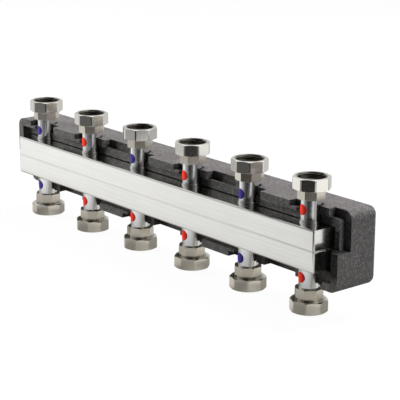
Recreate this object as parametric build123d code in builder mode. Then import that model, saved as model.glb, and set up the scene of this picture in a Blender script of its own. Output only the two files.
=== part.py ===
from build123d import *
import math
import os

# Heating manifold: a two-chamber stainless header with six branches up and six down,
# lying in the rear half of its foam insulation shell. Millimetres, +Z up, X along the
# header, and the origin in the middle of the shell's flat back, which faces the wall.

# Branch layout
branch_count = 6
branch_pitch = 125.0
wall_distance = 63.0  # branch axes to the back of the shell
upper_flow = "RSRSRS"  # what each upper branch carries, from the left: supply or return
lower_flow = "RSSSRS"

# Header: two pressed trays welded to a divider plate
header_end_margin = 37.5  # last branch axis to the end of the header
header_depth = 60.0
header_height = 60.0
sheet = 2.0
divider_thickness = 2.4
weld_proud = 0.3  # how far the divider's edge stands out of the trays' fronts and backs
end_weld_proud = 0.9  # and the seam weld out of their ends
header_corner = 2.5
neck_height = 2.4
neck_wall = 1.2
neck_chamfer = 0.6
divider_chamfer = 0.6
end_tab_width = 5.0
end_tab_reach = 2.0
end_tab_forward = 8.5  # tab to the branch axes' plane

# Branch stubs: welded tubes that end inside the adapters
stub_diameter = 30.0
stub_wall = 1.5
stub_entry = 3.0  # how far a tube stands into the chamber it feeds
weld_gap = 0.05  # radial room between a tube and what it is joined into

# Adapters: octagon bar, a groove for the retaining ring, and a flat sealing end
adapter_root = 62.8  # header middle to the near face of the octagon
adapter_flats = 38.0
adapter_height = 13.0
adapter_chamfer = 0.8
adapter_chamfer_angle = 26.5  # from the axis
socket_depth = 9.0
waterway_diameter = 27.0
spigot_diameter = 34.0
spigot_length = 9.4
ring_seat = 6.3  # octagon face to the near side of the retaining ring
ring_height = 1.9
ring_width = 3.45
ring_groove_depth = 1.5
ring_gap = 2.0  # split in the ring
ring_clearance = 0.05

# Union nuts: G 1 1/4, free to turn on their adapters
nut_flats = 50.0
nut_height = 17.2
nut_shoulder = 2.6
nut_chamfer_angle = 25.0
nut_face_inset = 0.4  # flats to the turned ring on each end face
thread_minor_diameter = 38.95
thread_relief_diameter = 42.3
thread_clearance = 0.2  # end of the spigot to the first thread, with the nut resting
mouth_chamfer = 1.5
running_gap = 0.3

# Insulation shell: rear half, with a lapped and castellated rim
outer_layer = 12.0
inner_layer = 12.0
end_outer_layer = 12.5
end_inner_layer = 9.0
shell_corner = 12.0
shell_rear_round = 9.0
header_room = 1.0  # between the header and the shell's cavity
end_room = 5.5  # and at the header's ends
tongue_reach = 12.0
lip_reach = 3.0
stub_hole_room = 2.0
tongue_start = 36.0  # branch axis to where the next tongue begins
lug_end = 34.0  # branch axis to the end of the lug beside it
hook_start = 28.0  # hook to the branch axis on its right
notch_start = 29.5
hook_height = 8.0
tongue_corner = 5.0
lip_corner = 4.5

# Flow markers: round stickers on the front of the stubs
marker_diameter = 15.0
marker_thickness = 0.25
marker_turn = 7.0  # from straight ahead towards the left
upper_marker_height = [44.0, 47.6, 45.1, 44.5, 43.5, 48.2]  # from the header's middle
lower_marker_height = [48.0, 48.5, 46.7, 46.7, 50.5, 46.9]

# How the nuts and adapters stand, in degrees, from the left to the right
upper_nut_turn = [8.0, 8.8, 37.6, 24.0, 3.6, 12.3]
upper_adapter_turn = [11.3, 24.0, 29.2, 31.5, 11.9, 20.6]
lower_nut_turn = [11.1, 34.6, 33.9, 16.2, 3.4, 38.0]
lower_adapter_turn = [26.4, 31.1, 8.0, 22.7, 25.0, 28.9]

axis_y = -wall_distance
branch_x = [(i - (branch_count - 1) / 2) * branch_pitch for i in range(branch_count)]
header_length = (branch_count - 1) * branch_pitch + 2 * header_end_margin
tray_height = (header_height - divider_thickness) / 2
tray_base = divider_thickness / 2
roof = header_height / 2
stub_radius = stub_diameter / 2
stub_hole_radius = stub_radius + weld_gap
adapter_face = adapter_root + adapter_height
ring_groove_diameter = spigot_diameter - 2 * ring_groove_depth
ring_diameter = ring_groove_diameter + 2 * (ring_clearance + ring_width)


def carrying(flow, kind):
    """The numbers of the branches that carry supply (S) or return (R) water."""
    return [number for number, letter in enumerate(flow, start=1) if letter == kind]


# The upper chamber is the return and the lower one the supply, so these stubs reach through
long_upper = carrying(upper_flow, "S")
long_lower = carrying(lower_flow, "R")

os.makedirs("parts", exist_ok=True)


def save(part, name):
    """Labels a finished piece and writes it under its own name."""
    part.label = name
    export_step(part, f"parts/{name}.step")


def upward(part, sign):
    """A piece built for the upper side, turned over for the lower side where the sign is negative."""
    return part if sign > 0 else part.rotate(Axis((0, axis_y, 0), (1, 0, 0)), 180)


def chamber(sign):
    """One pressed tray of the header, with a drawn neck at each branch."""
    with BuildPart() as tray:
        with BuildSketch(Plane.XY.offset(tray_base)):
            with Locations((0, axis_y)):
                RectangleRounded(header_length, header_depth, header_corner)
        extrude(amount=tray_height)
        fillet(tray.faces().sort_by(Axis.Z)[-1].edges(), header_corner)
        offset(amount=-sheet, openings=tray.faces().sort_by(Axis.Z)[0])
        with BuildSketch(Plane.XY.offset(roof - sheet / 2)):
            with Locations(*[(x, axis_y) for x in branch_x]):
                Circle(stub_hole_radius + neck_wall)
        extrude(amount=sheet / 2 + neck_height)
        necks = tray.faces().sort_by(Axis.Z)[-branch_count:]
        chamfer(necks.edges(), neck_chamfer)
        with BuildSketch(Plane.XY.offset(tray_base)):
            with Locations(*[(x, axis_y) for x in branch_x]):
                Circle(stub_hole_radius)
        extrude(amount=header_height, mode=Mode.SUBTRACT)
    return upward(tray.part, sign)


save(chamber(1), "upper_chamber")
save(chamber(-1), "lower_chamber")

# The divider's edge and the welds along it stand a little proud all round
with BuildPart() as divider_plate:
    with BuildSketch(Plane.XY.offset(-tray_base)):
        with Locations((0, axis_y)):
            RectangleRounded(header_length + 2 * end_weld_proud, header_depth + 2 * weld_proud,
                             header_corner + weld_proud)
        with Locations((0, axis_y - end_tab_forward)):
            Rectangle(header_length + 2 * (end_weld_proud + end_tab_reach), end_tab_width)
    extrude(amount=divider_thickness)
    rim_edges = divider_plate.edges().filter_by(Axis.Z, reverse=True)
    chamfer(rim_edges, divider_chamfer)
    long_stub_x = [branch_x[n - 1] for n in long_upper + long_lower]
    with BuildSketch(Plane.XY.offset(-tray_base)):
        with Locations(*[(x, axis_y) for x in long_stub_x]):
            Circle(stub_hole_radius)
    extrude(amount=divider_thickness, mode=Mode.SUBTRACT)
save(divider_plate.part, "divider_plate")


def stub(x, reaches_far, sign):
    """A branch tube, from the chamber it feeds to the socket in its adapter."""
    near_end = roof - sheet - stub_entry
    far_end = -tray_base - stub_entry
    foot = far_end if reaches_far else near_end
    tip = adapter_root + socket_depth - weld_gap
    with BuildPart() as tube:
        with BuildSketch(Plane.XY.offset(foot)):
            with Locations((x, axis_y)):
                Circle(stub_radius)
                Circle(stub_radius - stub_wall, mode=Mode.SUBTRACT)
        extrude(amount=tip - foot)
    return upward(tube.part, sign)


def adapter(x, turn, sign):
    """An octagon fitting: socket for the tube, waterway, spigot and groove for the ring."""
    flat = adapter_flats / 2
    with BuildPart() as body:
        with BuildSketch(Plane.XY.offset(adapter_root)):
            with Locations((x, axis_y)):
                RegularPolygon(flat, 8, major_radius=False, rotation=turn)
        extrude(amount=adapter_height)
        with BuildSketch(Plane.XY.offset(adapter_root)):
            with Locations((x, axis_y)):
                Circle(flat / math.cos(math.pi / 8) - adapter_chamfer)
        extrude(amount=adapter_height, taper=-adapter_chamfer_angle, mode=Mode.INTERSECT)
        with BuildSketch(Plane.XY.offset(adapter_face)):
            with Locations((x, axis_y)):
                Circle(spigot_diameter / 2)
        extrude(amount=spigot_length)
        with BuildSketch(Plane.XY.offset(adapter_face + ring_seat - ring_clearance)):
            with Locations((x, axis_y)):
                Circle(ring_diameter / 2)
                Circle(ring_groove_diameter / 2, mode=Mode.SUBTRACT)
        extrude(amount=ring_height + 2 * ring_clearance, mode=Mode.SUBTRACT)
        with BuildSketch(Plane.XY.offset(adapter_root)):
            with Locations((x, axis_y)):
                Circle(stub_hole_radius)
        extrude(amount=socket_depth, mode=Mode.SUBTRACT)
        with BuildSketch(Plane.XY.offset(adapter_root)):
            with Locations((x, axis_y)):
                Circle(waterway_diameter / 2)
        extrude(amount=adapter_height + spigot_length, mode=Mode.SUBTRACT)
    return upward(body.part, sign)


def union_nut(x, turn, sign):
    """A swivel nut. The upper ones rest on their octagons, the lower ones hang from their rings."""
    resting = adapter_face + running_gap
    hanging = adapter_face + ring_seat - nut_shoulder - running_gap
    back = resting if sign > 0 else hanging
    vertex = nut_flats / 2 / math.cos(math.pi / 8)
    face_radius = nut_flats / 2 - nut_face_inset
    drop = (vertex - face_radius) * math.tan(math.radians(nut_chamfer_angle))
    thread_start = spigot_length - running_gap + thread_clearance
    with BuildPart() as nut:
        with BuildSketch(Plane.XY.offset(back)):
            with Locations((x, axis_y)):
                RegularPolygon(nut_flats / 2, 8, major_radius=False, rotation=turn)
        extrude(amount=nut_height)
        with BuildSketch(Plane.XZ.offset(-axis_y)):
            with BuildLine():
                Polyline((x, back), (x + face_radius, back), (x + vertex, back + drop),
                         (x + vertex, back + nut_height - drop), (x + face_radius, back + nut_height),
                         (x, back + nut_height), close=True)
            make_face()
        revolve(axis=Axis((x, axis_y, 0), (0, 0, 1)), mode=Mode.INTERSECT)
        with BuildSketch(Plane.XZ.offset(-axis_y)):
            with BuildLine():
                thread = thread_minor_diameter / 2
                relief = thread_relief_diameter / 2
                neck = spigot_diameter / 2 + running_gap
                Polyline((x, back), (x + neck, back), (x + neck, back + nut_shoulder),
                         (x + relief, back + nut_shoulder), (x + relief, back + thread_start),
                         (x + thread, back + thread_start), (x + thread, back + nut_height - mouth_chamfer),
                         (x + thread + mouth_chamfer, back + nut_height), (x, back + nut_height), close=True)
            make_face()
        revolve(axis=Axis((x, axis_y, 0), (0, 0, 1)), mode=Mode.SUBTRACT)
    return upward(nut.part, sign)


for number, x in enumerate(branch_x, start=1):
    save(stub(x, number in long_upper, 1), f"upper_stub_{number}")
    save(stub(x, number in long_lower, -1), f"lower_stub_{number}")
    save(adapter(x, upper_adapter_turn[number - 1], 1), f"upper_adapter_{number}")
    save(adapter(x, -lower_adapter_turn[number - 1], -1), f"lower_adapter_{number}")
    save(union_nut(x, upper_nut_turn[number - 1], 1), f"upper_nut_{number}")
    save(union_nut(x, -lower_nut_turn[number - 1], -1), f"lower_nut_{number}")

# Split rings, one in the groove of each adapter: they keep the nuts on
seat = adapter_face + ring_seat
with BuildPart() as retaining_rings:
    for sign in (1, -1):
        with BuildSketch(Plane.XY.offset(seat if sign > 0 else -seat - ring_height)):
            with Locations(*[(x, axis_y) for x in branch_x]):
                Circle(ring_diameter / 2)
                Circle(ring_groove_diameter / 2 + ring_clearance, mode=Mode.SUBTRACT)
            with Locations(*[(x, axis_y + ring_diameter / 2) for x in branch_x]):
                Rectangle(ring_gap, ring_diameter, mode=Mode.SUBTRACT)
        extrude(amount=ring_height)
save(retaining_rings.part, "retaining_rings")


def markers(upper_numbers, lower_numbers):
    """Round stickers bent round the front of the chosen stubs."""
    spots = [(branch_x[n - 1], upper_marker_height[n - 1]) for n in upper_numbers]
    spots += [(branch_x[n - 1], -lower_marker_height[n - 1]) for n in lower_numbers]
    outer = stub_radius + weld_gap + marker_thickness
    turn = math.radians(-marker_turn)
    faces = [Plane(origin=(x, axis_y, z), x_dir=(math.cos(turn), math.sin(turn), 0),
                   z_dir=(math.sin(turn), -math.cos(turn), 0)) for x, z in spots]
    with BuildPart() as stickers:
        for x, z in spots:
            with BuildSketch(Plane.XY.offset(z - marker_diameter / 2)):
                with Locations((x, axis_y)):
                    Circle(outer)
                    Circle(stub_radius + weld_gap, mode=Mode.SUBTRACT)
            extrude(amount=marker_diameter)
        with BuildSketch(*faces):
            Circle(marker_diameter / 2)
        extrude(amount=outer + marker_thickness, mode=Mode.INTERSECT)
    return stickers.part


save(markers(carrying(upper_flow, "S"), carrying(lower_flow, "S")), "supply_markers")
save(markers(carrying(upper_flow, "R"), carrying(lower_flow, "R")), "return_markers")


# Insulation shell. Behind the rim it is one thick wall; the rim has an outer and an inner layer
cavity_half_length = header_length / 2 + end_room
cavity_half_height = roof + header_room
mid_half_length = cavity_half_length + end_inner_layer
mid_half_height = cavity_half_height + inner_layer
shell_length = 2 * (mid_half_length + end_outer_layer)
shell_height = 2 * (mid_half_height + outer_layer)
hole_radius = stub_radius + stub_hole_room
rim_y = axis_y - tongue_reach
cut_past = 1.0  # how far a cut runs past the surface it opens


def cut_box(x_span, y_front, z_span):
    """Cuts the rim back to a plane: from the foremost rim to a distance in front of the branch axes."""
    x0, x1 = x_span
    z0, z1 = z_span
    depth = tongue_reach - y_front
    with Locations(((x0 + x1) / 2, rim_y + depth / 2, (z0 + z1) / 2)):
        Box(x1 - x0, depth, z1 - z0, mode=Mode.SUBTRACT)


def round_edge(x, z, x_way, z_way, radius, y_front):
    """Rounds a rim edge that runs front to back. The ways point from the edge into the foam."""
    with BuildSketch(Plane.XZ.offset(y_front - axis_y)) as corner:
        with Locations((x + x_way * radius / 2, z + z_way * radius / 2)):
            Rectangle(radius, radius)
        with Locations((x + x_way * radius, z + z_way * radius)):
            Circle(radius, mode=Mode.SUBTRACT)
    extrude(corner.sketch, amount=tongue_reach - y_front + cut_past, mode=Mode.SUBTRACT)


with BuildPart() as insulation_rear:
    with BuildSketch(Plane.XZ):
        RectangleRounded(shell_length, shell_height, shell_corner)
    extrude(amount=wall_distance + tongue_reach)
    fillet(insulation_rear.faces().sort_by(Axis.Y)[-1].edges(), shell_rear_round)
    # Room for the header, open to the front
    cavity_back = axis_y + header_depth / 2 + header_room
    with BuildSketch(Plane.XZ.offset(-cavity_back)):
        Rectangle(2 * cavity_half_length, 2 * cavity_half_height)
    extrude(amount=cavity_back - rim_y, mode=Mode.SUBTRACT)
    # The inner layer is set back behind the tongues
    with BuildSketch(Plane.XZ.offset(-(axis_y - lip_reach))):
        Rectangle(2 * mid_half_length, 2 * mid_half_height)
    extrude(amount=tongue_reach, mode=Mode.SUBTRACT)
    outer_top = shell_height / 2 + cut_past
    ends_and_branches = [-shell_length / 2 - cut_past] + branch_x + [shell_length / 2 + cut_past]
    for side in (1, -1):
        low, high = sorted((side * mid_half_height, side * outer_top))
        inner_low, inner_high = sorted((side * cavity_half_height / 2, side * mid_half_height))
        hook_low, hook_high = sorted((side * (shell_height / 2 - hook_height), side * outer_top))
        for gap in range(branch_count + 1):
            left, right = ends_and_branches[gap], ends_and_branches[gap + 1]
            at_left_end, at_right_end = gap == 0, gap == branch_count
            tongue = (gap % 2 == 1 or at_left_end) if side > 0 else (gap % 2 == 0 and not at_left_end)
            if tongue:
                if not at_left_end:
                    cut_box((left, left + tongue_start), 0, (low, high))
                    round_edge(left + tongue_start, side * mid_half_height, 1, side, tongue_corner, lip_reach)
                if not at_right_end:
                    cut_box((right - notch_start, right), 0, (hook_low, hook_high))
            else:
                start = left if at_left_end else left + lug_end
                end = right if at_right_end else right - hook_start
                if not at_left_end:
                    cut_box((left, start), 0, (low, high))
                cut_box((start, end), -tongue_reach, (low, high))
                if not at_right_end:
                    cut_box((end, right), 0, (low, high))
                cut_box((max(left, -mid_half_length), min(right, mid_half_length)), -lip_reach,
                        (inner_low, inner_high))
    # End walls: the upper right and the lower left quarters are cut back, the others reach forward
    for side in (1, -1):
        x0, x1 = sorted((side * mid_half_length, side * (shell_length / 2 + cut_past)))
        z0, z1 = sorted((0, side * outer_top))
        cut_box((x0, x1), -tongue_reach, (z0, z1))
        x0, x1 = sorted((side * (cavity_half_length - cut_past), side * mid_half_length))
        z0, z1 = sorted((0, side * mid_half_height))
        cut_box((x0, x1), -lip_reach, (z0, z1))
        round_edge(side * mid_half_length, side * mid_half_height, -side, -side, lip_corner, -tongue_reach)
    # Half holes for the stubs
    with BuildSketch(Plane.XY.offset(-shell_height / 2)):
        with Locations(*[(x, axis_y) for x in branch_x]):
            Circle(hole_radius)
        with Locations(*[(x, rim_y - cut_past) for x in branch_x]):
            Rectangle(2 * hole_radius, tongue_reach + cut_past, align=(Align.CENTER, Align.MIN))
    extrude(amount=shell_height, mode=Mode.SUBTRACT)
save(insulation_rear.part, "insulation_rear")
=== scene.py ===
# %% [markdown]
# # A heating manifold in the rear half of its insulation shell
#
# The real object is a welded stainless header with six branches up and six down. Each branch ends
# in a nickel-plated adapter with a loose union nut, and the whole lies in a black foam shell.
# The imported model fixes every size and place. This script gives each piece its finish, and models
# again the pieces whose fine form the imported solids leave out: nuts with a real thread, adapters
# and foam with softened edges, and the weld beads.

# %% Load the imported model
import math

import bpy
from mathutils import Matrix, Vector


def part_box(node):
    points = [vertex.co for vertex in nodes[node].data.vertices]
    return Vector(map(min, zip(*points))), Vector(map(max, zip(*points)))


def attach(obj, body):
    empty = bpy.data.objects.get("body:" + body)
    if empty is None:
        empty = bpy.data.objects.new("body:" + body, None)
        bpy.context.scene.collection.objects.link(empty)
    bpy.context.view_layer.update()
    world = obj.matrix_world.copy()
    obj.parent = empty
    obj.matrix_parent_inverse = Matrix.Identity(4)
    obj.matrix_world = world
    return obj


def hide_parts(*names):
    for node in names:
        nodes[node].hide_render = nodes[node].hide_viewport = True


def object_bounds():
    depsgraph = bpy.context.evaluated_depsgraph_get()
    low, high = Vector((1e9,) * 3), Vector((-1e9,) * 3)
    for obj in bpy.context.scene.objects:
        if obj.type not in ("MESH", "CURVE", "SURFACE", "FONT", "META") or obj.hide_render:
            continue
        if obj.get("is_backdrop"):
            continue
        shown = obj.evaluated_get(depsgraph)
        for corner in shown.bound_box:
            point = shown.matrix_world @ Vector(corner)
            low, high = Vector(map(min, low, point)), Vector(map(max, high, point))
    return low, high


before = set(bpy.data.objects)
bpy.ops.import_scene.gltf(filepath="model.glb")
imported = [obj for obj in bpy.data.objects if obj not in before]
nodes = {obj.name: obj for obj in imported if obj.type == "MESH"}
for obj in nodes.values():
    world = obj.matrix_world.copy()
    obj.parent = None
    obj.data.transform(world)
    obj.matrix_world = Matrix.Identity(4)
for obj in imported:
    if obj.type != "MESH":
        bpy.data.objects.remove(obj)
cad_low, cad_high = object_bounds()
print("packed model from", tuple(cad_low), "to", tuple(cad_high))

# %% [markdown]
# The branch axes aren't typed in. Each stub is round, so the middle of its box is its axis, and
# every new piece is placed from these points.

# %% Find the branch axes
branches = range(1, 7)


def axis_of(node):
    """The x and y of a round upright node."""
    low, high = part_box(node)
    return (low.x + high.x) / 2, (low.y + high.y) / 2


axes = {number: axis_of(f"upper_stub_{number}") for number in branches}
axis_y = axes[1][1]
pitch = axes[2][0] - axes[1][0]
print("branch axes", axes, "pitch", round(pitch, 4))

# %% [markdown]
# ## The camera
#
# The photograph looks from the front right, fifty degrees round and a little from above, through
# a long lens. The numbers come from fitting about sixty points of the photograph to the model. The
# lens is given for Blender's 36 mm wide sensor, and the small shift puts the view's centre where
# the fit found it.

# %% Place the camera
view_azimuth, view_elevation, view_roll = (math.radians(a) for a in (50.191, 15.559, 0.333))
eye = Vector((1.7376, -1.4523, 0.6107))
forward = Vector((-math.sin(view_azimuth) * math.cos(view_elevation),
                  math.cos(view_azimuth) * math.cos(view_elevation),
                  -math.sin(view_elevation)))
level = Vector((math.cos(view_azimuth), math.sin(view_azimuth), 0))
upright = level.cross(forward)
right = level * math.cos(view_roll) + upright * math.sin(view_roll)
up = upright * math.cos(view_roll) - level * math.sin(view_roll)
facing = Matrix((right, up, -forward)).transposed()

bpy.ops.object.camera_add()
camera = bpy.context.object
camera.name = "camera"
camera.location = eye
camera.rotation_euler = facing.to_euler()
photo_side, focal_length = 400, 1537.376  # pixels
centre_x, centre_y = 195.842, 200.198
camera.data.sensor_width = 36
camera.data.lens = focal_length / photo_side * 36
camera.data.shift_x = (photo_side / 2 - centre_x) / photo_side
camera.data.shift_y = (centre_y - photo_side / 2) / photo_side
camera.data.clip_end = 20
scene = bpy.context.scene
scene.camera = camera
print("lens", round(camera.data.lens, 2), "mm")

# %% [markdown]
# ## Nodes as arithmetic
#
# A finish is a small program: a pattern, scaled and mixed, feeds a shader's sockets. Wiring nodes
# one by one hides that program, so a Wire wraps an output socket and takes part in plain Python
# sums. Anything that isn't a sum comes from one method, Tree.node.


# %% A wire that can be added and multiplied
class Wire:
    """A node's output, ready for arithmetic."""

    def __init__(self, tree, socket):
        self.tree = tree
        self.socket = socket

    def math(self, operation, *others):
        return self.tree.node("ShaderNodeMath", {"operation": operation},
                              dict(enumerate((self, *others))))

    def __add__(self, other):
        return self.math("ADD", other)

    def __sub__(self, other):
        return self.math("SUBTRACT", other)

    def __mul__(self, other):
        return self.math("MULTIPLY", other)

    def __truediv__(self, other):
        return self.math("DIVIDE", other)

    def __pow__(self, other):
        return self.math("POWER", other)

    def __rsub__(self, other):
        return self.tree.node("ShaderNodeMath", {"operation": "SUBTRACT"}, {0: other, 1: self})

    def __rtruediv__(self, other):
        return self.tree.node("ShaderNodeMath", {"operation": "DIVIDE"}, {0: other, 1: self})

    __radd__ = __add__
    __rmul__ = __mul__

    def between(self, low, high, to_low=0.0, to_high=1.0):
        """Stretches low to high over to_low to to_high, and holds it there."""
        return self.tree.node("ShaderNodeMapRange", {}, {
            "Value": self, "From Min": low, "From Max": high, "To Min": to_low, "To Max": to_high})


# %% A tree that grows node by node
class Tree:
    """The node tree of a material or a world."""

    def __init__(self, owner):
        owner.use_nodes = True
        self.tree = owner.node_tree
        self.tree.nodes.clear()

    def node(self, kind, settings, inputs, output=0):
        """Adds a node, sets it, fills its inputs with numbers or wires, and returns one output."""
        made = self.tree.nodes.new(kind)
        for name, value in settings.items():
            if name == "stops":
                ramp = made.color_ramp
                while len(ramp.elements) < len(value):
                    ramp.elements.new(1.0)
                for element, (position, colour) in zip(ramp.elements, value):
                    element.position = position
                    element.color = (*colour, 1.0)
            else:
                setattr(made, name, value)
        for name, value in inputs.items():
            if isinstance(value, Wire):
                self.tree.links.new(value.socket, made.inputs[name])
            else:
                made.inputs[name].default_value = value
        return Wire(self, made.outputs[output]) if made.outputs else None

    def place(self):
        """Object coordinates, in metres, in the model's own frame."""
        return self.node("ShaderNodeTexCoord", {}, {}, "Object")

    def stretched(self, place, x, y, z):
        return self.node("ShaderNodeVectorMath", {"operation": "MULTIPLY"}, {0: place, 1: (x, y, z)})

    def noise(self, place, scale, detail=3.0, rough=0.55):
        return self.node("ShaderNodeTexNoise", {}, {
            "Vector": place, "Scale": scale, "Detail": detail, "Roughness": rough})

    def mix(self, share, first, second):
        """A colour between two colours."""
        return self.node("ShaderNodeMix", {"data_type": "RGBA"}, {0: share, 6: first, 7: second}, 2)

    def bump(self, height, strength, distance):
        return self.node("ShaderNodeBump", {}, {
            "Strength": strength, "Distance": distance, "Height": height})


def rgb(red, green, blue):
    return (red, green, blue, 1.0)


# %% [markdown]
# ## The studio
#
# The photograph is a packshot on pure white with hardly a shadow. Polished metal shows its
# surroundings, so these matter more than the lamps. Reflections see a white room, and in it pieces
# that glow and that only reflections see, which are painted reflections: a tall curved screen round
# the set, painted dark on the camera's side, a dark card overhead, and a white card on the table in
# front, which the header and the lower branches mirror, with the lower nuts' shadows painted on it.
# The tones follow the compass: each facet of each nut mirrors one direction, so the facets' tones
# in the photograph say how dark the room was that way.

# %% Stage the floor
scene.view_settings.view_transform = "Standard"
card_drop, floor_drop = 0.0001, 0.0002
bpy.ops.mesh.primitive_plane_add(size=8, location=(0, axis_y, cad_low.z - floor_drop))
floor = bpy.context.object
floor.name = "floor"
floor_paint = bpy.data.materials.new("floor_paint")
sheet = Tree(floor_paint)
seen = sheet.node("ShaderNodeLightPath", {}, {}, "Is Camera Ray")
floor_colour = sheet.mix(seen, rgb(0.08, 0.08, 0.08), rgb(0.9, 0.9, 0.9))
lit = sheet.node("ShaderNodeBsdfDiffuse", {}, {"Color": floor_colour})
glow = sheet.node("ShaderNodeEmission", {}, {"Color": rgb(1, 1, 1), "Strength": 1.0})
glow_share = 0.965  # the rest shows lamps and shadows
ground = sheet.node("ShaderNodeMixShader", {}, {0: seen * glow_share, 1: lit, 2: glow})
sheet.node("ShaderNodeOutputMaterial", {}, {"Surface": ground})
floor.data.materials.append(floor_paint)
floor.visible_glossy = False
floor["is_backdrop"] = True


# %% Tones that reflections see
def reflected_only(made, name, paint_colour):
    """Paints a piece of the studio that glows, and that only reflections see."""
    made.name = name
    paint = bpy.data.materials.new(name + "_paint")
    coat = Tree(paint)
    glow = coat.node("ShaderNodeEmission", {}, {"Color": paint_colour(coat), "Strength": 1.0})
    coat.node("ShaderNodeOutputMaterial", {}, {"Surface": glow})
    made.data.materials.append(paint)
    made.visible_camera = False
    made.visible_diffuse = False
    made.visible_shadow = False
    made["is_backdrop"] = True


def part_of(coat, axis):
    """One of the object coordinates, x, y or z, by its number."""
    return coat.node("ShaderNodeSeparateXYZ", {}, {0: coat.place()}, axis)


def compass(coat, turn, tones, tint):
    """A tone for each direction. The tones are pairs of degrees and grey."""
    stops = [((degrees + 180) / 360, [tone * part for part in tint]) for degrees, tone in tones]
    return coat.node("ShaderNodeValToRGB", {"stops": stops}, {"Fac": turn / (2 * math.pi) + 0.5})


def painted_screen_tones(coat):
    """Painted reflection tones round the compass, from the back by the left, the front and the right to the
    back.
    """
    turn = part_of(coat, 0).math("ARCTAN2", part_of(coat, 1) * -1)
    tones = [(-180, 0.6), (-100, 0.6), (-85, 0.68), (-60, 0.62), (-44, 0.5), (-22, 0.32), (3, 0.1), (20, 0.02),
             (48, 0.025), (66, 0.12), (88, 0.22), (99, 0.7), (112, 1.0), (132, 0.85), (156, 0.42), (180, 0.6)]
    return compass(coat, turn, tones, (1, 1, 0.98))


# The table card's width, and how far its front and back edges are from the branch axes
card_width, card_front, card_back = 2.0, -0.43, 0.07


def painted_table_tones(coat):
    """Painted reflection: white in front, and painted shadows near the branches, where each side of a lower
    nut has its own painted shade.

    The far strip, which the header's upper half mirrors, is white on the left only: on the right
    the upper stubs would mirror it, and they are dark.
    """
    depth = part_of(coat, 1).between(-0.5, 0.5, card_front, card_back)
    along = part_of(coat, 0) * card_width
    aside = ((along + 10 * pitch).math("MODULO", pitch)) - pitch / 2
    fade = along.between(-0.62, 0.1, 1.0, 0.79)
    strip = along.between(0.06, 0.1, fade, 0.02)
    middle = depth.between(-0.13, -0.19, fade * 0.6, fade)
    far = depth.between(-0.29, -0.31, middle, strip)
    # The painted shadow of each lower nut on the card, darkest just in front of it and lighter to its left.
    tones = [(-180, 0.45), (-70, 0.62), (-40, 0.5), (-15, 0.24), (15, 0.2), (40, 0.3), (75, 0.42),
             (110, 0.25), (180, 0.3)]
    near = compass(coat, aside.math("ARCTAN2", depth * -1), tones, (1, 0.96, 0.86))
    white = coat.node("ShaderNodeCombineColor", {}, {0: far, 1: far, 2: far * 0.985})
    return coat.mix(depth.between(-0.095, -0.065), white, near)


# A painted dark reflection: the card overhead glows near-black, and only reflections see it.
def painted_dark_reflection(coat):
    return rgb(0.02, 0.02, 0.02)


# %% Hang the screen and the cards
bpy.ops.mesh.primitive_cylinder_add(vertices=96, radius=3, depth=4.3, end_fill_type="NOTHING",
                                    location=(0, axis_y, 0.55))
reflected_only(bpy.context.object, "screen", painted_screen_tones)
bpy.ops.mesh.primitive_plane_add(size=1, location=(0.3, axis_y - 0.62, 1.2))
bpy.context.object.scale = (2.8, 1.4, 1)
reflected_only(bpy.context.object, "overhead_card", painted_dark_reflection)
card_middle = axis_y + (card_front + card_back) / 2
bpy.ops.mesh.primitive_plane_add(size=1, location=(0, card_middle, cad_low.z - card_drop))
bpy.context.object.scale = (card_width, card_back - card_front, 1)
reflected_only(bpy.context.object, "table_card", painted_table_tones)

# %% Light the room
world = bpy.data.worlds.new("room")
scene.world = world
room = Tree(world)
rays = [room.node("ShaderNodeLightPath", {}, {}, f"Is {kind} Ray")
        for kind in ("Camera", "Glossy", "Transmission")]
seen = rays[0] + rays[1] + rays[2]
air = room.node("ShaderNodeBackground", {}, {
    "Color": room.mix(seen.between(0.0, 1.0), rgb(0.01, 0.01, 0.01), rgb(1, 1, 1)), "Strength": 1.0})
room.node("ShaderNodeOutputWorld", {}, {"Surface": air})


def lamp(name, location, aim, size, power, colour):
    """A square soft light that lights matt surfaces, and that metal doesn't mirror."""
    bpy.ops.object.light_add(type="AREA", location=location)
    made = bpy.context.object
    made.name = name
    made.data.size = size
    made.data.energy = power
    made.data.color = colour
    made.visible_glossy = False
    made.rotation_euler = (Vector(aim) - Vector(location)).to_track_quat("-Z", "Y").to_euler()


lamp("rear_softbox", (0.1, 1.3, 1.7), (0, axis_y, 0), 1.6, 122, (1.0, 0.93, 0.96))
lamp("left_softbox", (-2.4, -1.05, 0.6), (0, axis_y, 0), 1.2, 155, (1.0, 1.0, 0.97))
lamp("right_softbox", (2.2, 0.55, 0.5), (0.3, axis_y, 0), 1.0, 26, (1.0, 1.0, 1.0))
print("studio ready")

# %% [markdown]
# ## The metals
#
# Four steels and two platings. The trays are pressed from brushed sheet: fine scratches run along
# the header, which blur its mirror image upright but hardly along it. The stubs are drawn tube,
# polished nearly to a mirror. Nuts and adapters are turned from octagon bar and nickel-plated: bright
# on the nuts, and a warmer satin on the adapters. Only base colour, roughness and the normal vary
# over a surface. Every other number is set on the shader itself.


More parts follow.
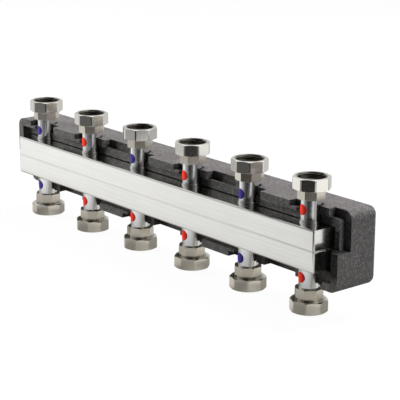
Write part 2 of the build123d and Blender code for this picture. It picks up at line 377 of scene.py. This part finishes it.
# %% A metal shader
def metal(name, colour, worn_colour, grain, roughness, rougher, bump_strength,
          upright_blur=0.0, shade=None):
    """A metal whose colour, roughness and normal all follow one grain pattern.

    Polishing marks round a tube blur its mirror image upright: upright_blur is how much. A shade
    function says where painted shade darkens the colour.
    """
    made = bpy.data.materials.new(name)
    coat = Tree(made)
    pattern = grain(coat)
    cloud = coat.noise(coat.place(), 14.0, 2.0)
    colours = coat.mix(pattern.between(0.3, 0.7) * 0.6 + cloud * 0.4, rgb(*colour), rgb(*worn_colour))
    if shade:
        # Painted shade: where the shade function says, the colour is darkened towards a dark grey.
        colours = coat.mix(shade(coat), colours, rgb(0.16, 0.15, 0.135))
    rough = pattern.between(0.25, 0.75, roughness, rougher)
    normal = coat.bump(pattern, bump_strength, 0.0002)
    body = coat.node("ShaderNodeBsdfPrincipled", {}, {
        "Base Color": colours, "Metallic": 1.0, "Roughness": rough, "Normal": normal,
        "Anisotropic": upright_blur, "Anisotropic Rotation": 0.25})
    coat.node("ShaderNodeOutputMaterial", {}, {"Surface": body})
    return made


def along_header(coat):
    """Brushing that runs along X on the flat walls. The drawn necks above them are smooth."""
    lines = coat.noise(coat.stretched(coat.place(), 6, 1600, 1600), 1.0, 4.0, 0.6)
    wall = part_of(coat, 2).math("ABSOLUTE").between(0.0300, 0.0308, 1.0, 0.0)
    return 0.5 + (lines - 0.5) * wall


def along_tube(coat):
    """Drawing lines that run along Z."""
    return coat.noise(coat.stretched(coat.place(), 1300, 1300, 7), 1.0, 3.0)


def from_axis(coat):
    """The distance to the nearest branch axis."""
    x = ((part_of(coat, 0) - (axes[1][0] - pitch / 2)).math("MODULO", pitch)) - pitch / 2
    y = part_of(coat, 1) - axis_y
    return (x * x + y * y) ** 0.5


def in_the_bore(coat):
    """Painted shade: the thread and the groove are darkened in colour, since little light gets in."""
    return from_axis(coat).between(0.0212, 0.0218, 0.55, 0.0)


def turned_or_drawn(coat):
    """Tool rings round each branch axis on turned faces, and drawing lines on the flats."""
    place = coat.place()
    radius = from_axis(coat)
    rings = coat.node("ShaderNodeTexNoise", {"noise_dimensions": "1D"},
                      {"W": radius, "Scale": 2600.0, "Detail": 2.0})
    lines = coat.noise(coat.stretched(place, 1500, 1500, 9), 1.0, 3.0)
    tilt = coat.node("ShaderNodeSeparateXYZ", {}, {0: coat.node("ShaderNodeNewGeometry", {}, {}, "Normal")}, 2)
    flat_up = tilt.math("ABSOLUTE").between(0.2, 0.5)
    return rings * flat_up + lines * (1 - flat_up)


tray_steel = metal("tray_steel", (0.94, 0.935, 0.915), (0.78, 0.775, 0.755), along_header, 0.1, 0.2, 0.04)
tube_steel = metal("tube_steel", (0.9, 0.91, 0.92), (0.84, 0.85, 0.86), along_tube, 0.12, 0.17, 0.004,
                   upright_blur=0.8)
weld_steel = metal("weld_steel", (0.95, 0.95, 0.94), (0.88, 0.87, 0.85), along_tube, 0.2, 0.3, 0.02)
nut_nickel = metal("nut_nickel", (0.925, 0.9, 0.855), (0.895, 0.865, 0.815), turned_or_drawn, 0.13, 0.2, 0.006,
                   shade=in_the_bore)
adapter_nickel = metal("adapter_nickel", (0.80, 0.755, 0.67), (0.76, 0.715, 0.63), turned_or_drawn, 0.24, 0.3,
                       0.006)
spring_steel = metal("spring_steel", (0.55, 0.56, 0.58), (0.45, 0.46, 0.48), along_header, 0.25, 0.35, 0.05)
print("metals ready")

# %% [markdown]
# ## The foam and the stickers
#
# The shell is moulded from expanded polypropylene beads three or four millimetres wide. Steam has
# pressed them into cells: each has its own faint shade, the joints between them sink in, and a few
# pits stay open. A Voronoi texture is that packing. The stickers are printed film.


# %% Foam beads
def foam_finish():
    made = bpy.data.materials.new("foam_beads")
    coat = Tree(made)
    place = coat.place()
    wander = coat.node("ShaderNodeTexNoise", {}, {"Vector": place, "Scale": 160.0, "Detail": 1.0}, 1)
    bent = coat.node("ShaderNodeVectorMath", {"operation": "MULTIPLY_ADD"},
                     {0: wander, 1: (0.0016, 0.0016, 0.0016), 2: place})
    edge = coat.node("ShaderNodeTexVoronoi", {"feature": "DISTANCE_TO_EDGE"},
                     {"Vector": bent, "Scale": 400.0})
    bead = coat.node("ShaderNodeTexVoronoi", {"feature": "F1"}, {"Vector": bent, "Scale": 400.0}, 1)
    shade = coat.node("ShaderNodeSeparateColor", {}, {0: bead}, 0)
    seam = edge.between(0.0, 0.1)
    grit = coat.noise(place, 1500.0, 2.0)
    pale = shade.between(0.3, 1.0) * 0.55 + grit.between(0.4, 0.75) * 0.45
    colour = coat.mix(pale, rgb(0.078, 0.077, 0.075), rgb(0.235, 0.232, 0.227))
    shown = coat.mix(seam, rgb(0.05, 0.048, 0.049), colour)
    height = seam * 0.6 + grit * 0.4
    body = coat.node("ShaderNodeBsdfPrincipled", {}, {
        "Base Color": shown, "Roughness": shade.between(0.0, 1.0, 0.6, 0.75),
        "Normal": coat.bump(height, 0.3, 0.0005), "Specular IOR Level": 0.2})
    coat.node("ShaderNodeOutputMaterial", {}, {"Surface": body})
    return made


foam_beads = foam_finish()


# %% Printed film
def film(name, colour, dark):
    made = bpy.data.materials.new(name)
    coat = Tree(made)
    speck = coat.noise(coat.place(), 900.0, 2.0)
    shown = coat.mix(speck.between(0.35, 0.75), rgb(*colour), rgb(*dark))
    body = coat.node("ShaderNodeBsdfPrincipled", {}, {
        "Base Color": shown, "Roughness": speck.between(0.3, 0.7, 0.3, 0.42),
        "Normal": coat.bump(speck, 0.05, 0.0001), "Specular IOR Level": 0.3})
    coat.node("ShaderNodeOutputMaterial", {}, {"Surface": body})
    return made


red_film = film("red_film", (0.82, 0.03, 0.014), (0.7, 0.022, 0.01))
blue_film = film("blue_film", (0.035, 0.022, 0.24), (0.027, 0.017, 0.19))


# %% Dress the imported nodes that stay
def dress(piece, finish):
    piece.data.materials.clear()
    piece.data.materials.append(finish)


for name, piece in nodes.items():
    if "chamber" in name or name == "divider_plate":
        dress(piece, tray_steel)
    elif "stub" in name:
        dress(piece, tube_steel)
dress(nodes["retaining_rings"], spring_steel)
dress(nodes["supply_markers"], red_film)
dress(nodes["return_markers"], blue_film)
print("packed nodes dressed")

# %% [markdown]
# ## Softened copies
#
# No real edge is a perfect corner: it catches a thin line of light. The adapters and the foam shell
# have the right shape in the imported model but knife-sharp edges, so each gets a stand-in: its mesh
# is copied, its loose triangles are welded into faces, and a Bevel modifier rounds what is sharp.


# %% Soften a node
def pick(piece):
    """Makes a piece the only selected one."""
    bpy.ops.object.select_all(action="DESELECT")
    piece.select_set(True)
    bpy.context.view_layer.objects.active = piece


def apply(piece, kind, **settings):
    """Adds a modifier, sets it and applies it."""
    modifier = piece.modifiers.new(kind.lower(), kind)
    for name, value in settings.items():
        setattr(modifier, name, value)
    pick(piece)
    bpy.ops.object.modifier_apply(modifier=modifier.name)


def softened(node, edge, segments, finish):
    """A copy of a node with rounded edges, which takes the node's place."""
    piece = bpy.data.objects.new(node + "_finished", nodes[node].data.copy())
    scene.collection.objects.link(piece)
    pick(piece)
    bpy.ops.object.mode_set(mode="EDIT")
    bpy.ops.mesh.select_all(action="SELECT")
    bpy.ops.mesh.remove_doubles(threshold=0.00001)
    bpy.ops.mesh.dissolve_limited(angle_limit=math.radians(1))
    bpy.ops.object.mode_set(mode="OBJECT")
    apply(piece, "BEVEL", width=edge, segments=segments, limit_method="ANGLE",
          angle_limit=math.radians(35), use_clamp_overlap=True)
    bpy.ops.object.shade_smooth_by_angle(angle=math.radians(40))
    apply(piece, "WEIGHTED_NORMAL", keep_sharp=True, weight=100)
    dress(piece, finish)
    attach(piece, "manifold")
    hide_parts(node)
    return piece


for number in branches:
    for row in ("upper", "lower"):
        softened(f"{row}_adapter_{number}", 0.0005, 3, adapter_nickel)
shell = softened("insulation_rear", 0.0012, 3, foam_beads)
print("softened pieces:", len(branches) * 2 + 1, "shell faces", len(shell.data.polygons))

# %% [markdown]
# ## The union nut
#
# A union nut is turned and tapped from octagon bar: both ends are chamfered on a lathe, which
# leaves the arched tops of the flats, and the thread ends in a relief groove. One nut is made here
# the same way: an octagon prism is intersected with a turned blank, then bored with a turned
# cutter, and a screw-swept ridge, trimmed to the bore, is its thread. It stands at the origin with its
# mouth up, in metres.

# %% Nut sizes
mm = 0.001
back_low, back_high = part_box("upper_nut_1")
nut_height = back_high.z - back_low.z
flats = 50 * mm
corner = flats / 2 / math.cos(math.pi / 8)
face_ring = 24.6 * mm
chamfer_drop = (corner - face_ring) * math.tan(math.radians(25))
neck, groove = 17.3 * mm, 21.15 * mm
shoulder, thread_from, thread_to = 2.6 * mm, 9.3 * mm, nut_height - 1.5 * mm
minor, major = 19.475 * mm, 20.955 * mm
thread_pitch = 25.4 / 11 * mm
print("nut", round(nut_height * 1000, 2), "mm high, corner radius", round(corner * 1000, 2), "mm")


# %% Turn a solid
def turned(name, sides, profile):
    """Extrudes and scales a disc from ring to ring. The profile is a list of (radius, height)."""
    bpy.ops.mesh.primitive_circle_add(vertices=sides, radius=profile[0][0], fill_type="NGON",
                                      location=(0, 0, profile[0][1]))
    made = bpy.context.object
    made.name = name
    bpy.ops.object.mode_set(mode="EDIT")
    bpy.ops.mesh.select_all(action="SELECT")
    for (radius, height), (next_radius, next_height) in zip(profile, profile[1:]):
        bpy.ops.mesh.extrude_region_move(TRANSFORM_OT_translate={"value": (0, 0, next_height - height)})
        grow = next_radius / radius
        bpy.ops.transform.resize(value=(grow, grow, 1), center_override=(0, 0, next_height))
    bpy.ops.mesh.select_all(action="SELECT")
    bpy.ops.mesh.normals_make_consistent(inside=False)
    bpy.ops.object.mode_set(mode="OBJECT")
    bpy.ops.object.transform_apply(location=True, rotation=True, scale=True)
    return made


def cut(piece, tool, operation):
    """A boolean that uses the tool up."""
    apply(piece, "BOOLEAN", operation=operation, object=tool, solver="EXACT")
    bpy.data.objects.remove(tool)


# %% Bar, blank and bore
bpy.ops.mesh.primitive_circle_add(vertices=8, radius=corner, fill_type="NGON")
nut = bpy.context.object
nut.name = "union_nut"
bpy.ops.object.mode_set(mode="EDIT")
bpy.ops.mesh.select_all(action="SELECT")
bpy.ops.mesh.bevel(offset=1.25 * mm, segments=1, affect="VERTICES")
bpy.ops.mesh.select_all(action="SELECT")
bpy.ops.mesh.extrude_region_move(TRANSFORM_OT_translate={"value": (0, 0, nut_height)})
bpy.ops.mesh.select_all(action="SELECT")
bpy.ops.mesh.normals_make_consistent(inside=False)
bpy.ops.object.mode_set(mode="OBJECT")
blank_radius = corner * 1.0005
cut(nut, turned("blank", 96, [(face_ring, 0), (blank_radius, chamfer_drop),
                              (blank_radius, nut_height - chamfer_drop), (face_ring, nut_height)]),
    "INTERSECT")
beyond = 1 * mm
cut(nut, turned("cutter", 96, [(neck, -beyond), (neck, shoulder), (groove, shoulder), (groove, thread_from),
                               (major, thread_from), (major, nut_height + beyond)]), "DIFFERENCE")
apply(nut, "BEVEL", width=0.3 * mm, segments=2, limit_method="ANGLE", angle_limit=math.radians(28))
print("nut body faces", len(nut.data.polygons))

# %% Thread ridge
bpy.ops.mesh.primitive_plane_add(size=1)
ridge = bpy.context.object
ridge.name = "ridge"
crest, half_crest = minor + 0.02 * mm, 0.22 * mm
root, half_root = major + 0.25 * mm, thread_pitch / 2 - 0.05 * mm
tooth = [(crest, -half_crest), (crest, half_crest), (root, half_root), (root, -half_root)]
corners = sorted(ridge.data.vertices, key=lambda vertex: math.atan2(vertex.co.y, vertex.co.x))
for vertex, (radius, height) in zip(corners, tooth):
    vertex.co = (radius, 0, height)
turns = math.ceil((nut_height - thread_from) / thread_pitch) + 2
bpy.ops.object.mode_set(mode="EDIT")
bpy.ops.mesh.select_all(action="SELECT")
bpy.ops.mesh.delete(type="ONLY_FACE")
bpy.ops.mesh.select_all(action="SELECT")
bpy.ops.transform.translate(value=(0, 0, thread_from - thread_pitch))
bpy.ops.object.mode_set(mode="OBJECT")
apply(ridge, "SCREW", angle=2 * math.pi * turns, screw_offset=thread_pitch * turns, steps=64 * turns,
      render_steps=64 * turns, axis="Z", use_merge_vertices=False)
bpy.ops.object.mode_set(mode="EDIT")
bpy.ops.mesh.select_all(action="DESELECT")
bpy.ops.mesh.select_non_manifold()
bpy.ops.mesh.fill()
bpy.ops.mesh.select_all(action="SELECT")
bpy.ops.mesh.normals_make_consistent(inside=False)
bpy.ops.object.mode_set(mode="OBJECT")
print("ridge faces", len(ridge.data.polygons), "turns", turns)

# %% Trim the ridge to the bore and join it
trim_radius = groove + 0.6 * mm
trim = turned("trim", 96, [(trim_radius, thread_from), (trim_radius, nut_height - 0.1 * mm)])
bore_radius = minor - beyond
cut(trim, turned("trim_bore", 96, [(bore_radius, thread_from - beyond), (bore_radius, thread_to - beyond),
                                   (minor + 1.5 * mm + beyond, nut_height + beyond)]), "DIFFERENCE")
cut(ridge, trim, "INTERSECT")
bpy.ops.object.select_all(action="DESELECT")
ridge.select_set(True)
nut.select_set(True)
bpy.context.view_layer.objects.active = nut
bpy.ops.object.join()
bpy.ops.object.shade_smooth_by_angle(angle=math.radians(18))
apply(nut, "WEIGHTED_NORMAL", keep_sharp=True, weight=100)
dress(nut, nut_nickel)
print("nut faces with thread", len(nut.data.polygons))

# %% [markdown]
# Each nut is loose, so all twelve stand at their own angle. The upper ones rest on their adapters,
# the lower ones hang with the mouth down. A copy is turned, moved and applied, so that its place
# is in its mesh.

# %% Set the twelve nuts
turns_of = {"upper": (8.0, 8.8, 37.6, 24.0, 3.6, 12.3), "lower": (11.1, 34.6, 33.9, 16.2, 3.4, 38.0)}
for row, angles in turns_of.items():
    for number, angle in zip(branches, angles):
        node = f"{row}_nut_{number}"
        low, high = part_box(node)
        pick(nut)
        bpy.ops.object.duplicate(linked=False)
        piece = bpy.context.object
        piece.name = node + "_finished"
        spin = Matrix.Rotation(math.radians(angle), 4, "Z")
        tip = Matrix.Identity(4) if row == "upper" else Matrix.Rotation(math.pi, 4, "X")
        seat = low.z if row == "upper" else high.z
        piece.matrix_world = Matrix.Translation((axes[number][0], axis_y, seat)) @ spin @ tip
        bpy.ops.object.transform_apply(location=True, rotation=True, scale=True)
        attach(piece, node + "_body")
        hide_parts(node)
bpy.data.objects.remove(nut)
print("nuts set")

# %% [markdown]
# ## Weld beads
#
# Each stub is welded into its drawn neck, and the trays to the divider plate. A weld bead is a thin
# rounded cord with ripples. A torus for each neck and a thin rod across each end are roughened with
# a Displace modifier.

# %% Ripple and place a bead
ripple = bpy.data.textures.new("ripple", "CLOUDS")
ripple.noise_scale = 0.0016


def finish_bead(bead, strength):
    apply(bead, "DISPLACE", texture=ripple, strength=strength, mid_level=0.5, texture_coords="LOCAL")
    bpy.ops.object.shade_smooth()
    dress(bead, weld_steel)
    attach(bead, "manifold")


# %% Bead round each neck
neck_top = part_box("upper_chamber")[1].z
stub_radius = (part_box("upper_stub_1")[1].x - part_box("upper_stub_1")[0].x) / 2
for row, side in (("upper", 1), ("lower", -1)):
    for number in branches:
        bpy.ops.mesh.primitive_torus_add(major_segments=72, minor_segments=10,
                                         major_radius=stub_radius + 0.4 * mm, minor_radius=0.65 * mm,
                                         location=(axes[number][0], axis_y, side * neck_top))
        bead = bpy.context.object
        bead.name = f"{row}_neck_weld_{number}"
        bpy.ops.object.transform_apply(location=True, rotation=True, scale=True)
        finish_bead(bead, 0.3 * mm)
print("neck welds set")

# %% Bead across each end
bead_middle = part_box("upper_chamber")[1].x + 0.7 * mm
bead_length, slice_length = 54 * mm, 1.5 * mm
slices = round(bead_length / slice_length)
for name, side in (("right", 1), ("left", -1)):
    bpy.ops.mesh.primitive_cylinder_add(vertices=14, radius=1.5 * mm, depth=bead_length,
                                        location=(side * bead_middle, axis_y, 0),
                                        rotation=(math.pi / 2, 0, 0))
    bead = bpy.context.object
    bead.name = f"{name}_end_weld"
    bpy.ops.object.transform_apply(location=True, rotation=True, scale=True)
    apply(bead, "BEVEL", width=0.8 * mm, segments=3, limit_method="ANGLE", angle_limit=math.radians(60))
    bpy.ops.object.mode_set(mode="EDIT")
    for number in range(1, slices):
        bpy.ops.mesh.select_all(action="SELECT")
        place = axis_y + (number - slices / 2) * slice_length
        bpy.ops.mesh.bisect(plane_co=(0, place, 0), plane_no=(0, 1, 0))
    bpy.ops.object.mode_set(mode="OBJECT")
    finish_bead(bead, 1.1 * mm)
print("end welds set")

# %% [markdown]
# ## Finish
#
# Both boxes are printed: the imported model's at the start, and the visual model's here. The visual
# model must stay inside the imported model's box.

# %% Write the boxes and finish
low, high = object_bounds()
print("visual model from", tuple(low), "to", tuple(high))
